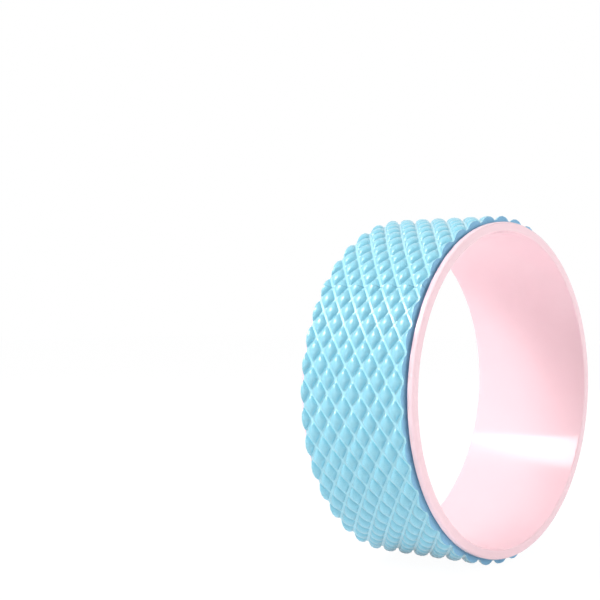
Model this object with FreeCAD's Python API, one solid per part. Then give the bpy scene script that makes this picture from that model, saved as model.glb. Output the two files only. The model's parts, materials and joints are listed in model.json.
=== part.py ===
import FreeCAD, Part
import math
import os

# Yoga wheel: a glossy moulded hoop with a foam tread strip bonded round it.
# Units are millimetres. The axle line is the Y axis, +Z is up and the origin is the wheel's
# centre, so the wheel stands on its tread below the origin. The end at -Y is the front.

# Hoop: a straight bore, a web under the tread, a raised rim at the front and a plain end at the back
bore_radius = 150.0
hoop_width = 128.0
web_thickness = 4.0
rim_height = 5.0
rim_width = 6.0
rim_round = 2.0
rim_shoulder_round = 0.8
bore_mouth_round = 1.5
back_end_round = 1.5

# Adhesive film between the hoop and the tread, kept back from the tread's sides
film_thickness = 0.2
film_side_margin = 2.0
film_clearance = 0.2

# Tread strip: a base covered with diamond pillows, wrapped round the hoop end to end, and
# pressed a little flat where the wheel stands. It leaves as much of the hoop bare at the back
# as the rim and its gap take at the front.
tread_side_gap = 2.5
tread_base = 6.2
diamond_rows = 40
diamond_columns = 6
groove_width = 1.8
flank_lean = 22.0
diamond_tip_height = 1.4
diamond_crown_rise = 3.0
seam_gap = 0.3
seam_angle = 53.3
standing_flat = 0.5

# Sizes that follow from the ones above
hoop_front = -hoop_width / 2
hoop_back = hoop_width / 2
rim_back = hoop_front + rim_width
web_radius = bore_radius + web_thickness
rim_radius = web_radius + rim_height
film_radius = web_radius + film_thickness
tread_inner_radius = film_radius + film_clearance
tread_width = -2 * (rim_back + tread_side_gap)
film_back = tread_width / 2 - film_side_margin
groove_floor_radius = tread_inner_radius + tread_base
peak_radius = groove_floor_radius + diamond_tip_height + diamond_crown_rise
row_angle = 360.0 / diamond_rows
half_row = math.radians(row_angle / 2)
cell_half_length = groove_floor_radius * math.sin(half_row)
cell_tip_height = groove_floor_radius * math.cos(half_row)
cell_width = tread_width / diamond_columns
cell_half_width = cell_width / 2
cell_inradius = cell_half_length * cell_half_width / math.hypot(cell_half_length, cell_half_width)

CENTRE = FreeCAD.Vector(0, 0, 0)
AXLE = FreeCAD.Vector(0, 1, 0)
# A round face made along this direction closes on itself at its bottom, clear of the tread's top
TO_FRONT = FreeCAD.Vector(0, -1, 0)
SEW_TOLERANCE = 1e-4
SAME = 1e-5


def ring(inner_radius, outer_radius, front, back):
    """A plain tube round the axle between two places along it."""
    start = FreeCAD.Vector(0, front, 0)
    outer = Part.makeCylinder(outer_radius, back - front, start, AXLE)
    return outer.cut(Part.makeCylinder(inner_radius, back - front, start, AXLE))


def round_corner(solid, radius, place, rounding):
    """Round the solid's corner that runs round the axle at one radius and place along it."""
    circles = [edge for edge in solid.Edges if isinstance(edge.Curve, Part.Circle)]
    corner = [edge for edge in circles
              if abs(edge.Curve.Radius - radius) < SAME and abs(edge.Curve.Center.y - place) < SAME]
    return solid.makeFillet(rounding, corner)


def inner_hoop():
    """The moulding: bore, web and front rim, with its corners rounded."""
    body = ring(bore_radius, rim_radius, hoop_front, hoop_back)
    body = body.cut(ring(web_radius, rim_radius + rim_height, rim_back, hoop_back + rim_width))
    body = round_corner(body, rim_radius, hoop_front, rim_round)
    body = round_corner(body, rim_radius, rim_back, rim_shoulder_round)
    body = round_corner(body, bore_radius, hoop_front, bore_mouth_round)
    body = round_corner(body, bore_radius, hoop_back, bore_mouth_round)
    return round_corner(body, web_radius, hoop_back, back_end_round)


def adhesive_film():
    """The film that bonds the tread to the web."""
    return ring(web_radius, film_radius, -film_back, film_back)


def flat_sided(lower, upper):
    """A solid with flat sides between two four-cornered outlines."""
    outlines = [lower, upper]
    for here in range(4):
        after = (here + 1) % 4
        outlines.append([lower[here], lower[after], upper[after], upper[here]])
    faces = [Part.Face(Part.makePolygon(outline + outline[:1])) for outline in outlines]
    shell = Part.makeShell(faces)
    shell.sewShape()
    solid = Part.makeSolid(shell)
    if solid.Volume < 0:
        solid.reverse()
    return solid


def lozenge(half_length, half_width, height):
    """Four corners round the wheel's top: two along the tread, two across it."""
    plan = ((half_length, 0), (0, half_width), (-half_length, 0), (0, -half_width))
    return [FreeCAD.Vector(x, y, height) for x, y in plan]


def cell_outline(height):
    """A cell's corners at one height. Its sides run along the middles of the grooves.

    Each side is the plane through two corners on the groove floor and the radial line
    half way between them, which is the same plane for the cell beyond it.
    """
    half_length = cell_half_length + (height - cell_tip_height) * math.tan(half_row / 2)
    spread = (height - groove_floor_radius) / (2 * groove_floor_radius)
    return lozenge(half_length, cell_half_width * (1 + spread), height)


def diamond_outline(height):
    """A diamond's corners: half a groove in at the groove floor, and leaning in above it."""
    lean = (height - groove_floor_radius) * math.tan(math.radians(flank_lean))
    share = 1 - (groove_width / 2 + lean) / cell_inradius
    return lozenge(share * cell_half_length, share * cell_half_width, height)


def diamond():
    """One pillow at the wheel's top: four leaning flanks under a spherical crown."""
    above_crown = peak_radius + diamond_tip_height
    flanks = flat_sided(diamond_outline(cell_tip_height), diamond_outline(above_crown))
    half_length = diamond_outline(groove_floor_radius)[0].x
    crown_radius = (half_length ** 2 + diamond_crown_rise ** 2) / (2 * diamond_crown_rise)
    crown_centre = FreeCAD.Vector(0, 0, peak_radius - crown_radius)
    return flanks.common(Part.makeSphere(crown_radius, crown_centre, TO_FRONT))


def cell_skin():
    """The outside of one diamond and of the groove floor that belongs to it."""
    back = FreeCAD.Vector(0, tread_width / 2, 0)
    block = flat_sided(cell_outline(tread_inner_radius), cell_outline(peak_radius))
    floor = Part.makeCylinder(groove_floor_radius, tread_width, back, TO_FRONT)
    faces = floor.common(block).fuse(diamond()).Faces
    lowest = (tread_inner_radius + cell_tip_height) / 2
    skin = [face for face in faces if min(vertex.Z for vertex in face.Vertexes) > lowest]
    return Part.makeCompound(skin)


def row_skin(cell, count):
    """A row of cells side by side across the tread."""
    row = []
    for place in range(count):
        copy = cell.copy()
        copy.translate(AXLE * cell_width * (place - (count - 1) / 2))
        row.append(copy)
    return Part.makeCompound(row)


def keep_box(low_x, high_x):
    """A box over the wheel's top that holds the tread's width and a stretch of its length."""
    low = FreeCAD.Vector(low_x, -tread_width / 2, 0)
    return Part.makeBox(high_x - low_x, tread_width, 2 * peak_radius, low)


def turned(shape, angle):
    """A copy turned round the axle, from the top towards -X."""
    copy = shape.copy()
    copy.rotate(CENTRE, AXLE, -angle)
    return copy


def edges_at(shape, axis, place):
    """The edges of a shape that lie in the plane across one axis at one place."""
    found = []
    for edge in shape.Edges:
        box = edge.BoundBox
        low, high = (box.XMin, box.XMax) if axis == "x" else (box.YMin, box.YMax)
        if abs(low - place) < SAME and abs(high - place) < SAME:
            found.append(edge)
    return found


def flat_face(edges):
    """The flat face inside a loop of edges."""
    return Part.Face(Part.Wire(Part.__sortEdges__(edges)))


def strip_rows():
    """The strip's outside, row by row, with its seam at the wheel's top.

    Rows of whole diamonds take turns with rows set off by half a diamond, whose outermost
    diamonds are halved by the strip's sides. The seam halves one such row across, and
    takes the tips of the rows beside it.
    """
    cell = cell_skin()
    reach = 3 * cell_half_length
    whole = row_skin(cell, diamond_columns)
    offset = row_skin(cell, diamond_columns + 1).common(keep_box(-reach, reach))
    whole_rows = [turned(whole, row_angle * (row + 0.5)) for row in range(diamond_rows)]
    offset_rows = [turned(offset, row_angle * row) for row in range(1, diamond_rows)]
    left_end = Part.makeCompound([offset, whole_rows[0]]).common(keep_box(-reach, -seam_gap / 2))
    right_end = Part.makeCompound([offset, whole_rows[-1]]).common(keep_box(seam_gap / 2, reach))
    return whole_rows[1:-1], offset_rows, [left_end, right_end]


def underside_arc(y):
    """The line round the strip's underside from one end to the other."""
    half_gap = seam_gap / 2
    foot = math.sqrt(tread_inner_radius ** 2 - half_gap ** 2)
    below = FreeCAD.Vector(0, y, -tread_inner_radius)
    return Part.Arc(FreeCAD.Vector(-half_gap, y, foot), below, FreeCAD.Vector(half_gap, y, foot)).toShape()


def end_wall(end, x):
    """The cut face at one end of the strip."""
    profile = edges_at(end, "x", x)
    vertices = [vertex for edge in profile for vertex in edge.Vertexes]
    foot = math.sqrt(tread_inner_radius ** 2 - x ** 2)
    feet = [FreeCAD.Vector(x, y, foot) for y in (-tread_width / 2, tread_width / 2)]
    outline = profile + [Part.makeLine(*feet)]
    for low in feet:
        top = max(vertex.Z for vertex in vertices if abs(vertex.Y - low.y) < SAME)
        outline.append(Part.makeLine(low, FreeCAD.Vector(x, low.y, top)))
    return flat_face(outline)


def side_wall(pieces, y):
    """The scalloped face along one side of the strip, inside the edges that its pieces have there."""
    edges = [underside_arc(y)]
    for piece in pieces:
        edges += edges_at(piece, "y", y)
    return flat_face(edges)


def ground():
    """The block under the wheel that its lowest diamonds are pressed flat on."""
    low = FreeCAD.Vector(-peak_radius, -hoop_width / 2, -2 * peak_radius)
    return Part.makeBox(2 * peak_radius, hoop_width, peak_radius + standing_flat, low)


def tread_pad():
    """The strip as one closed solid, turned so that its seam is in its place."""
    whole_rows, offset_rows, ends = strip_rows()
    end_walls = [end_wall(end, x) for end, x in zip(ends, (-seam_gap / 2, seam_gap / 2))]
    side_walls = [side_wall(offset_rows + ends + end_walls, y) for y in (-tread_width / 2, tread_width / 2)]
    underside = underside_arc(-tread_width / 2).extrude(AXLE * tread_width)
    pieces = whole_rows + offset_rows + ends + end_walls + side_walls + [underside]
    strip = Part.makeCompound([face for piece in pieces for face in piece.Faces])
    strip.sewShape(SEW_TOLERANCE)
    solid = Part.makeSolid(strip.Shells[0])
    if solid.Volume < 0:
        solid.reverse()
    return turned(solid, seam_angle).cut(ground()).Solids[0]


os.makedirs("parts", exist_ok=True)
inner_hoop().exportStep("parts/inner_hoop.step")
adhesive_film().exportStep("parts/adhesive_film.step")
tread_pad().exportStep("parts/tread_pad.step")
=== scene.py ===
import json
import math

import bmesh
import bpy
from mathutils import Euler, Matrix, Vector


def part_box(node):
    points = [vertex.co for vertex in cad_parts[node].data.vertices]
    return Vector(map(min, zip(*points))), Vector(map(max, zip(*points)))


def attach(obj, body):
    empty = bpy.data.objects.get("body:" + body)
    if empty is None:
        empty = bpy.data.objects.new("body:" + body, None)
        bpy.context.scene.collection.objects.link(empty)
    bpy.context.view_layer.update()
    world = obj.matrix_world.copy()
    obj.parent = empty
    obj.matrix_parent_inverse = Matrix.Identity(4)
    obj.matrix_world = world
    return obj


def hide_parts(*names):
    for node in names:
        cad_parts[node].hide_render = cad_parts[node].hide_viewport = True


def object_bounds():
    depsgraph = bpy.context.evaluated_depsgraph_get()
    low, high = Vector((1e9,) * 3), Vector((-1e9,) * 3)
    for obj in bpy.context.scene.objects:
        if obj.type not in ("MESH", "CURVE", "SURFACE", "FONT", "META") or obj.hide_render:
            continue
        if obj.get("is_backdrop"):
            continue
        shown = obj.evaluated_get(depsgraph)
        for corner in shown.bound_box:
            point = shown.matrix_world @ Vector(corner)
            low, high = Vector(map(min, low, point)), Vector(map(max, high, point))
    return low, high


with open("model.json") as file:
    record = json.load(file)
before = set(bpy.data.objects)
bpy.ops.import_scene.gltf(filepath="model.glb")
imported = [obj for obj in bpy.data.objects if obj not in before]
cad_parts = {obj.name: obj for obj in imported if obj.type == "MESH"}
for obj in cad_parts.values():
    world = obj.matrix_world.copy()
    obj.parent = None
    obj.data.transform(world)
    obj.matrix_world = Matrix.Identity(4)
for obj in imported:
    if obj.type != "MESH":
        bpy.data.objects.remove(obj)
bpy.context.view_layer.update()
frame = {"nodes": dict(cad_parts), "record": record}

# A yoga wheel: a glossy moulded hoop with a strip of diamond-patterned foam wrapped round it.
# The axle line is the Y axis, +Z is up and the front end faces -Y. Lengths are in metres.
MM = 0.001

# Hoop sizes, from the frame and from its moulded corners
mounts = {mount["name"]: mount for mount in frame["record"]["mounts"]}
hoop_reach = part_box("inner_hoop")[1]
film_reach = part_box("adhesive_film")[1]
film_thickness = 0.2 * MM
bore_radius = mounts["hoop_bore"]["dims"]["r_mm"] * MM
web_radius = film_reach.z - film_thickness
rim_radius = hoop_reach.z
hoop_half_width = hoop_reach.y
rim_width = 6 * MM
rim_round = 2 * MM
rim_shoulder_round = 0.8 * MM
bore_mouth_round = 1.5 * MM
back_end_round = 1.5 * MM
HOOP_STEPS = 288
ROUND_STEPS = 6

# Tread sizes: the strip is shaped flat, and its groove floor keeps its length when it is wrapped.
# Its pillows are rounder and a little lower than the solid's, and its grooves a little wider.
tread_foot, tread_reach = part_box("tread_pad")
tread_half_width = tread_reach.y
tread_clearance = 0.2 * MM
tread_base = 6.4 * MM
diamond_rows = 40
diamond_columns = 6
groove_width = 2.0 * MM
crown_height = 4.2 * MM
crown_fullness = 2.2
seam_gap = 0.4 * MM
seam_angle = math.radians(53.3)
seam_lift = 0.35 * MM
seam_lift_reach = 9 * MM
side_edge_round = 0.5 * MM
PILLOW_STEPS = 3
SIDE_EDGE_STEPS = 2
groove_floor_radius = film_reach.z + tread_clearance + tread_base
strip_length = 2 * math.pi * groove_floor_radius
cell_half_length = strip_length / diamond_rows / 2
cell_half_width = tread_half_width / diamond_columns
cell_inradius = cell_half_length * cell_half_width / math.hypot(cell_half_length, cell_half_width)
pillow_share = 1 - groove_width / 2 / cell_inradius

# Places of the tread's two finishes
SKIN, CUT = 0, 1

# Limits for what counts as a crisp corner and as the same place
SHARP_EDGE = math.radians(52)
SAME_PLACE = 0.02 * MM

# Camera of the photograph, level with the ground
camera_place = Vector((-1.101, -0.721, 0.085))
camera_turn = math.radians(-50.3)
camera_lens = 80.4

# Light: a key up on the left, whose mirror image lies along the bore, a softbox that lights
# the bore's lower side, a narrow panel low behind the wheel that lights the bore's top, and
# soft fills above and all round
wheel_centre = Vector((0, 0, 0))
key_place = Vector((-1.33, 0.88, 1.52))
key_size = 0.8
key_radiance = 14.8
softbox_place = Vector((-0.7, 0.8, 1.04))
softbox_target = Vector((0.136, 0, -0.066))
softbox_size = 0.44
softbox_radiance = 5.6
back_panel_place = Vector((0.1, 0.45, -0.1))
back_panel_target = Vector((0.03, 0, 0.15))
back_panel_size = 0.3
back_panel_radiance = 0.5
back_panel_spread = math.radians(80)
left_fill_place = Vector((-2.0, 0.25, 0))
left_fill_size = 0.7
left_fill_radiance = 2.4
right_fill_place = Vector((2.2, 0.5, 0.6))
right_fill_size = 1.2
right_fill_radiance = 4.0
front_fill_place = Vector((0.5, -2.4, 0.5))
front_fill_size = 1.4
front_fill_radiance = 3.5
top_fill_place = Vector((-0.4, -0.4, 2.2))
top_fill_size = 1.4
top_fill_radiance = 0.9
ambient_strength = 0.37

# Floor: plain white where it is seen, apart from a small share that shows the wheel's shadow
floor_half_size = 6.0
floor_white = 1.04
floor_white_share = 0.93


# Building pieces

def placed(name, data):
    """A new object in the scene."""
    made = bpy.data.objects.new(name, data)
    bpy.context.scene.collection.objects.link(made)
    return made


def mesh_from(bm, name):
    """A mesh with the shape of a bmesh, which is done with after that."""
    mesh = bpy.data.meshes.new(name)
    bm.to_mesh(mesh)
    bm.free()
    return mesh


def finished(bm, name):
    """Turn a bmesh into a piece with smooth faces and crisp corners, riding on the one body."""
    bmesh.ops.recalc_face_normals(bm, faces=bm.faces)
    if bm.calc_volume(signed=True) < 0:
        bmesh.ops.reverse_faces(bm, faces=bm.faces)
    for face in bm.faces:
        face.smooth = True
    for edge in bm.edges:
        edge.smooth = edge.calc_face_angle(0) < SHARP_EDGE
    piece = placed(name, mesh_from(bm, name))
    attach(piece, "root")
    return piece


def ring_edges(bm, radius, place):
    """The edges that run round the axle at one radius and at one place along it."""
    def on_ring(vertex):
        x, y, z = vertex.co
        return abs(math.hypot(x, z) - radius) < SAME_PLACE and abs(y - place) < SAME_PLACE

    return [edge for edge in bm.edges if all(on_ring(vertex) for vertex in edge.verts)]


def round_ring(bm, radius, place, rounding):
    """Round the corner that runs round the axle at one radius and place."""
    bmesh.ops.bevel(
        bm, geom=ring_edges(bm, radius, place), offset=rounding, affect="EDGES",
        segments=ROUND_STEPS, profile=0.5, material=-1)


def hoop():
    """The moulding: its section spun round the axle, with the corners rounded after."""
    front, back = -hoop_half_width, hoop_half_width
    rim_back = front + rim_width
    section = [(bore_radius, front), (rim_radius, front), (rim_radius, rim_back),
               (web_radius, rim_back), (web_radius, back), (bore_radius, back)]
    bm = bmesh.new()
    corners = [bm.verts.new((0, y, radius)) for radius, y in section]
    sides = [bm.edges.new((corners[place - 1], corners[place])) for place in range(len(corners))]
    bmesh.ops.spin(
        bm, geom=corners + sides, cent=(0, 0, 0), axis=(0, 1, 0), angle=2 * math.pi,
        steps=HOOP_STEPS, use_merge=True)
    round_ring(bm, rim_radius, front, rim_round)
    round_ring(bm, rim_radius, rim_back, rim_shoulder_round)
    round_ring(bm, bore_radius, front, bore_mouth_round)
    round_ring(bm, bore_radius, back, bore_mouth_round)
    round_ring(bm, web_radius, back, back_end_round)
    piece = finished(bm, "moulded_hoop")
    normals = piece.modifiers.new("even_gloss", "WEIGHTED_NORMAL")
    normals.keep_sharp = True
    return piece


def pillow_line(index):
    """Where a grid line lies across a pillow: evenly turned over its round back, or mid-groove."""
    if abs(index) > PILLOW_STEPS:
        return math.copysign(1 / pillow_share, index)
    return math.sin(math.pi / 2 * index / PILLOW_STEPS)


def pillow(bm, crown):
    """One diamond with its share of the groove floor, flat, its back rounded both ways.

    A fullness of 2 rounds it as an ellipse, and more makes its top flatter and its flanks steeper.
    """
    def rise(share):
        return max(0, 1 - abs(share) ** crown_fullness) ** (1 / crown_fullness)

    lines = PILLOW_STEPS + 1
    made = bmesh.ops.create_grid(bm, x_segments=2 * lines, y_segments=2 * lines, size=1)["verts"]
    for vertex in made:
        along, over = (pillow_line(round(share * lines)) for share in vertex.co.xy)
        height = rise(along) * rise(over)
        vertex[crown] = height
        vertex.co.x = pillow_share * cell_half_length * (along + over) / 2
        vertex.co.y = pillow_share * cell_half_width * (along - over) / 2
        vertex.co.z = crown_height * height
    return made


def repeated(bm, verts, offsets):
    """Copies of the geometry on some vertices at each offset, with the first left in place."""
    edges = {edge for vertex in verts for edge in vertex.link_edges}
    faces = {face for vertex in verts for face in vertex.link_faces}
    pattern = list(verts) + list(edges) + list(faces)
    everything = list(verts)
    for offset in offsets:
        copy = bmesh.ops.duplicate(bm, geom=pattern)["geom"]
        copied = [part for part in copy if isinstance(part, bmesh.types.BMVert)]
        bmesh.ops.translate(bm, verts=copied, vec=offset)
        everything += copied
    return everything


def trim(bm, place, outward):
    """Cut the strip across a plane and drop what lies beyond it."""
    everything = bm.verts[:] + bm.edges[:] + bm.faces[:]
    bmesh.ops.bisect_plane(
        bm, geom=everything, dist=SAME_PLACE, plane_co=place, plane_no=outward, clear_outer=True)


def flat_strip(bm):
    """The strip laid flat: rows of whole diamonds, with rows set off by half a diamond between."""
    crown = bm.verts.layers.float.new("crown")
    step_along = Vector((2 * cell_half_length, 0, 0))
    step_across = Vector((0, 2 * cell_half_width, 0))
    first = pillow(bm, crown)
    bmesh.ops.translate(bm, verts=first, vec=step_across * -diamond_columns / 2)
    offset_row = repeated(bm, first, [step_across * place for place in range(1, diamond_columns + 1)])
    half_step = (step_along + step_across) / 2
    both_rows = repeated(bm, offset_row, [half_step])
    repeated(bm, both_rows, [step_along * row for row in range(1, diamond_rows + 1)])
    bmesh.ops.remove_doubles(bm, verts=bm.verts, dist=SAME_PLACE)
    trim(bm, (seam_gap / 2, 0, 0), (-1, 0, 0))
    trim(bm, (strip_length - seam_gap / 2, 0, 0), (1, 0, 0))
    trim(bm, (0, -tread_half_width, 0), (0, -1, 0))
    trim(bm, (0, tread_half_width, 0), (0, 1, 0))


def open_edges(bm):
    """The edges that have a face on one side only."""
    return [edge for edge in bm.edges if edge.is_boundary]


def add_sides(bm):
    """Drop the cut sides to the strip's underside and ease their edges.

    The underside and the two ends are closed after that.
    """
    at_sides = [edge for edge in open_edges(bm)
                if all(abs(abs(vertex.co.y) - tread_half_width) < SAME_PLACE for vertex in edge.verts)]
    for part in bmesh.ops.extrude_edge_only(bm, edges=at_sides)["geom"]:
        if isinstance(part, bmesh.types.BMVert):
            part.co.z = -tread_base
        elif isinstance(part, bmesh.types.BMFace):
            part.material_index = CUT
    eased = bmesh.ops.bevel(
        bm, geom=at_sides, offset=side_edge_round, affect="EDGES", segments=SIDE_EDGE_STEPS,
        profile=0.5, material=-1, clamp_overlap=True)["faces"]
    for face in eased:
        face.material_index = SKIN
    bmesh.ops.remove_doubles(bm, verts=bm.verts, dist=SAME_PLACE)
    low_edges = [edge for edge in open_edges(bm)
                 if all(abs(vertex.co.z + tread_base) < SAME_PLACE for vertex in edge.verts)]
    bmesh.ops.bridge_loops(bm, edges=low_edges)
    for face in bmesh.ops.holes_fill(bm, edges=open_edges(bm))["faces"]:
        face.material_index = CUT


def wrap(bm):
    """Wrap the flat strip round the hoop from its seam, one end a little proud of the other.

    The lowest diamonds are squashed flat on the ground.
    """
    for vertex in bm.verts:
        x, y, z = vertex.co
        lift = seam_lift * max(0, 1 - x / seam_lift_reach) ** 2 if z > 0 else 0
        angle = seam_angle + x / groove_floor_radius
        radius = groove_floor_radius + z + lift
        vertex.co = (-radius * math.sin(angle), y, max(radius * math.cos(angle), tread_foot.z))


def tread():
    """The foam strip: shaped flat, given its sides and underside, then wrapped."""
    bm = bmesh.new()
    flat_strip(bm)
    add_sides(bm)
    wrap(bm)
    return finished(bm, "diamond_tread")


# Materials

# Sockets of a colour mix
MIX_FACTOR, MIX_FROM, MIX_TO, MIX_COLOUR = 0, 6, 7, 2


def linear(hex_colour):
    """A colour for a shader from its sRGB hex value."""
    shares = [int(hex_colour[place:place + 2], 16) / 255 for place in (1, 3, 5)]
    bent = [share / 12.92 if share <= 0.04045 else ((share + 0.055) / 1.055) ** 2.4 for share in shares]
    return (*bent, 1)


def per(size):
    """The scale at which a pattern repeats about once in a real size."""
    return 1 / size


def add(tree, kind, inputs, **settings):
    """Add a node with its settings, and set or link its inputs by name or by place."""
    made = tree.nodes.new(kind)
    for name, value in settings.items():
        setattr(made, name, value)
    for name, value in inputs.items():
        if isinstance(value, bpy.types.NodeSocket):
            tree.links.new(value, made.inputs[name])
        else:
            made.inputs[name].default_value = value
    return made


def new_material(name):
    """A new node material, its node tree and its principled shader."""
    material = bpy.data.materials.new(name)
    material.use_nodes = True
    return material, material.node_tree, material.node_tree.nodes["Principled BSDF"]


def glossy_moulded_abs():
    """Pale pink ABS, moulded in a polished tool: a clear gloss, with a faint ripple and flow in it."""
    material, tree, shader = new_material("glossy_moulded_abs")
    place = add(tree, "ShaderNodeTexCoord", {}).outputs["Object"]
    flow = add(tree, "ShaderNodeTexNoise", {"Vector": place, "Scale": per(70 * MM), "Detail": 3})
    colour = add(tree, "ShaderNodeMix", {
        MIX_FACTOR: flow.outputs["Fac"], MIX_FROM: linear("#fbd7de"), MIX_TO: linear("#fcdee4")},
        data_type="RGBA")
    smudges = add(tree, "ShaderNodeTexNoise", {"Vector": place, "Scale": per(18 * MM), "Detail": 4})
    gloss = add(tree, "ShaderNodeMapRange", {
        "Value": smudges.outputs["Fac"], "To Min": 0.10, "To Max": 0.17})
    ripple = add(tree, "ShaderNodeTexNoise", {"Vector": place, "Scale": per(9 * MM), "Detail": 1})
    bump = add(tree, "ShaderNodeBump", {
        "Height": ripple.outputs["Fac"], "Strength": 0.12, "Distance": 0.03 * MM})
    tree.links.new(colour.outputs[MIX_COLOUR], shader.inputs["Base Color"])
    tree.links.new(gloss.outputs["Result"], shader.inputs["Roughness"])
    tree.links.new(bump.outputs["Normal"], shader.inputs["Normal"])
    shader.inputs["IOR"].default_value = 1.53
    shader.inputs["Specular IOR Level"].default_value = 0.25
    return material


def moulded_foam_skin():
    """Light blue TPE foam with a moulded skin: a soft satin, with its grooves painted paler as painted
    light.

    The skin's real grain is too fine to show, so it is drawn coarser.
    """
    material, tree, shader = new_material("moulded_foam_skin")
    place = add(tree, "ShaderNodeTexCoord", {}).outputs["Object"]
    crown = add(tree, "ShaderNodeAttribute", {}, attribute_name="crown").outputs["Fac"]
    # Painted light: the groove floors are painted paler than the pillows, standing in for the light that
    # they catch
    painted_groove_light = add(tree, "ShaderNodeMapRange", {
        "Value": crown, "From Min": 0.0, "From Max": 0.1, "To Min": 1.0, "To Max": 0.0},
        interpolation_type="SMOOTHSTEP").outputs["Result"]
    cloud = add(tree, "ShaderNodeTexNoise", {"Vector": place, "Scale": per(40 * MM), "Detail": 3})
    body = add(tree, "ShaderNodeMix", {
        MIX_FACTOR: cloud.outputs["Fac"], MIX_FROM: linear("#87cadd"), MIX_TO: linear("#8dd2e5")},
        data_type="RGBA")
    colour = add(tree, "ShaderNodeMix", {
        MIX_FACTOR: painted_groove_light, MIX_FROM: body.outputs[MIX_COLOUR], MIX_TO: linear("#a6dfed")},
        data_type="RGBA")
    grain = add(tree, "ShaderNodeTexNoise", {"Vector": place, "Scale": per(0.9 * MM), "Detail": 2})
    satin = add(tree, "ShaderNodeMapRange", {
        "Value": grain.outputs["Fac"], "To Min": 0.24, "To Max": 0.33})
    bump = add(tree, "ShaderNodeBump", {
        "Height": grain.outputs["Fac"], "Strength": 0.25, "Distance": 0.08 * MM})
    tree.links.new(colour.outputs[MIX_COLOUR], shader.inputs["Base Color"])
    tree.links.new(satin.outputs["Result"], shader.inputs["Roughness"])
    tree.links.new(bump.outputs["Normal"], shader.inputs["Normal"])
    shader.inputs["IOR"].default_value = 1.5
    shader.inputs["Specular IOR Level"].default_value = 0.9
    shader.inputs["Sheen Weight"].default_value = 0.4
    shader.inputs["Sheen Roughness"].default_value = 0.35
    return material


def cut_foam_edge():
    """The same foam where it was cut: open cells, which make it duller, and a tone a little darker than
    the skin's, which is painted shade.

    The real cells are too fine to show, so they are drawn coarser.
    """
    material, tree, shader = new_material("cut_foam_edge")
    place = add(tree, "ShaderNodeTexCoord", {}).outputs["Object"]
    cells = add(tree, "ShaderNodeTexVoronoi", {"Vector": place, "Scale": per(1.1 * MM)})
    # Painted shade: the cut foam's two tones are set a little darker than the skin's
    colour = add(tree, "ShaderNodeMix", {
        MIX_FACTOR: cells.outputs["Distance"], MIX_FROM: linear("#8fc7e6"), MIX_TO: linear("#7eb5d8")},
        data_type="RGBA")
    bump = add(tree, "ShaderNodeBump", {
        "Height": cells.outputs["Distance"], "Strength": 0.3, "Distance": 0.15 * MM})
    tree.links.new(colour.outputs[MIX_COLOUR], shader.inputs["Base Color"])
    tree.links.new(bump.outputs["Normal"], shader.inputs["Normal"])
    shader.inputs["Roughness"].default_value = 0.8
    return material


def contact_adhesive():
    """A brushed film of contact adhesive: cream, tacky and a little mottled."""
    material, tree, shader = new_material("contact_adhesive")
    place = add(tree, "ShaderNodeTexCoord", {}).outputs["Object"]
    mottle = add(tree, "ShaderNodeTexNoise", {"Vector": place, "Scale": per(3 * MM), "Detail": 3})
    colour = add(tree, "ShaderNodeMix", {
        MIX_FACTOR: mottle.outputs["Fac"], MIX_FROM: linear("#d9cfb4"), MIX_TO: linear("#e8e1cc")},
        data_type="RGBA")
    tree.links.new(colour.outputs[MIX_COLOUR], shader.inputs["Base Color"])
    shader.inputs["Roughness"].default_value = 0.35
    return material


# Stage, light and camera

def seen_directly(tree):
    """One for rays from the camera, mirrors and clear things, and none for light on the object."""
    rays = add(tree, "ShaderNodeLightPath", {})
    either = add(tree, "ShaderNodeMath", {
        0: rays.outputs["Is Camera Ray"], 1: rays.outputs["Is Glossy Ray"]}, operation="MAXIMUM")
    return add(tree, "ShaderNodeMath", {
        0: either.outputs[0], 1: rays.outputs["Is Transmission Ray"]}, operation="MAXIMUM").outputs[0]


def white_world():
    """A white backdrop all round that lights the object at a plain level."""
    world = bpy.data.worlds.new("white_studio")
    world.use_nodes = True
    bpy.context.scene.world = world
    tree = world.node_tree
    strength = add(tree, "ShaderNodeMapRange", {
        "Value": seen_directly(tree), "To Min": ambient_strength, "To Max": 1.0})
    backdrop = tree.nodes["Background"]
    backdrop.inputs["Color"].default_value = linear("#ffffff")
    tree.links.new(strength.outputs["Result"], backdrop.inputs["Strength"])


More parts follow.
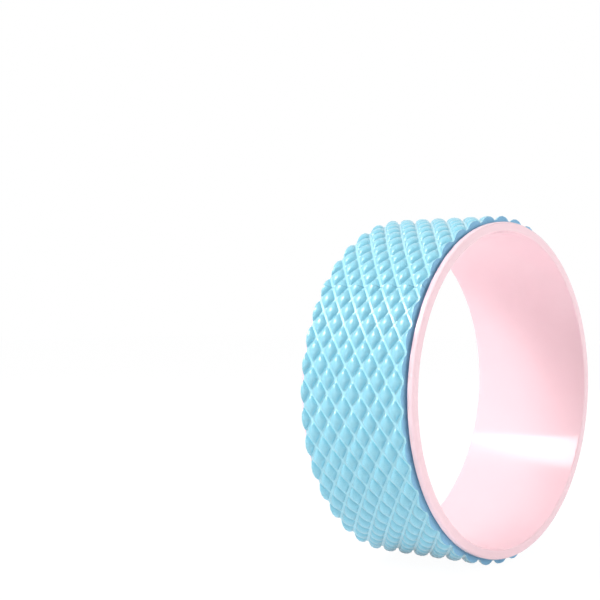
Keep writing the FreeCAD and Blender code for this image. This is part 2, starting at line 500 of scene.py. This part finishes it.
def pale_floor(height):
    """A plain white floor at the height that the wheel stands on, which keeps a soft shadow."""
    bm = bmesh.new()
    bmesh.ops.create_grid(bm, x_segments=1, y_segments=1, size=floor_half_size)
    bmesh.ops.translate(bm, verts=bm.verts, vec=(0, 0, height))
    floor = placed("floor", mesh_from(bm, "floor"))
    floor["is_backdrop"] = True
    material, tree, shader = new_material("white_floor")
    shader.inputs["Base Color"].default_value = linear("#fafafc")
    shader.inputs["Roughness"].default_value = 0.9
    white = add(tree, "ShaderNodeEmission", {"Strength": floor_white})
    share = add(tree, "ShaderNodeMath", {
        0: seen_directly(tree), 1: floor_white_share}, operation="MULTIPLY")
    both = add(tree, "ShaderNodeMixShader", {
        0: share.outputs[0], 1: shader.outputs[0], 2: white.outputs[0]})
    tree.links.new(both.outputs[0], tree.nodes["Material Output"].inputs["Surface"])
    floor.data.materials.append(material)


def area_light(name, place, target, size, radiance, mirrored=False, spread=math.pi):
    """A square soft light of an even brightness, aimed at a point, that gloss mirrors or doesn't."""
    lamp = bpy.data.lights.new(name, "AREA")
    lamp.shape = "SQUARE"
    lamp.size = size
    lamp.spread = spread
    lamp.energy = radiance * math.pi * size ** 2
    light = placed(name, lamp)
    light.location = place
    light.rotation_euler = (target - place).to_track_quat("-Z", "Y").to_euler()
    light.visible_camera = False
    light.visible_glossy = mirrored


def photograph_camera():
    """The camera of the photograph."""
    camera = placed("camera", bpy.data.cameras.new("camera"))
    camera.data.lens = camera_lens
    camera.location = camera_place
    camera.rotation_euler = Euler((math.pi / 2, 0, camera_turn))
    bpy.context.scene.camera = camera


# The wheel
moulded_hoop = hoop()
moulded_hoop.data.materials.append(glossy_moulded_abs())
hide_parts("inner_hoop")

diamond_tread = tread()
diamond_tread.data.materials.append(moulded_foam_skin())
diamond_tread.data.materials.append(cut_foam_edge())
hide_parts("tread_pad")

film = frame["nodes"]["adhesive_film"]
film.data.materials.clear()
film.data.materials.append(contact_adhesive())

# The studio
white_world()
pale_floor(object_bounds()[0].z)
area_light("key", key_place, wheel_centre, key_size, key_radiance, mirrored=True)
area_light("softbox", softbox_place, softbox_target, softbox_size, softbox_radiance)
area_light(
    "back_panel", back_panel_place, back_panel_target, back_panel_size, back_panel_radiance,
    spread=back_panel_spread)
area_light("left_fill", left_fill_place, wheel_centre, left_fill_size, left_fill_radiance, mirrored=True)
area_light("right_fill", right_fill_place, wheel_centre, right_fill_size, right_fill_radiance)
area_light("front_fill", front_fill_place, wheel_centre, front_fill_size, front_fill_radiance)
area_light("top_fill", top_fill_place, wheel_centre, top_fill_size, top_fill_radiance)
photograph_camera()
bpy.context.scene.view_settings.view_transform = "Standard"
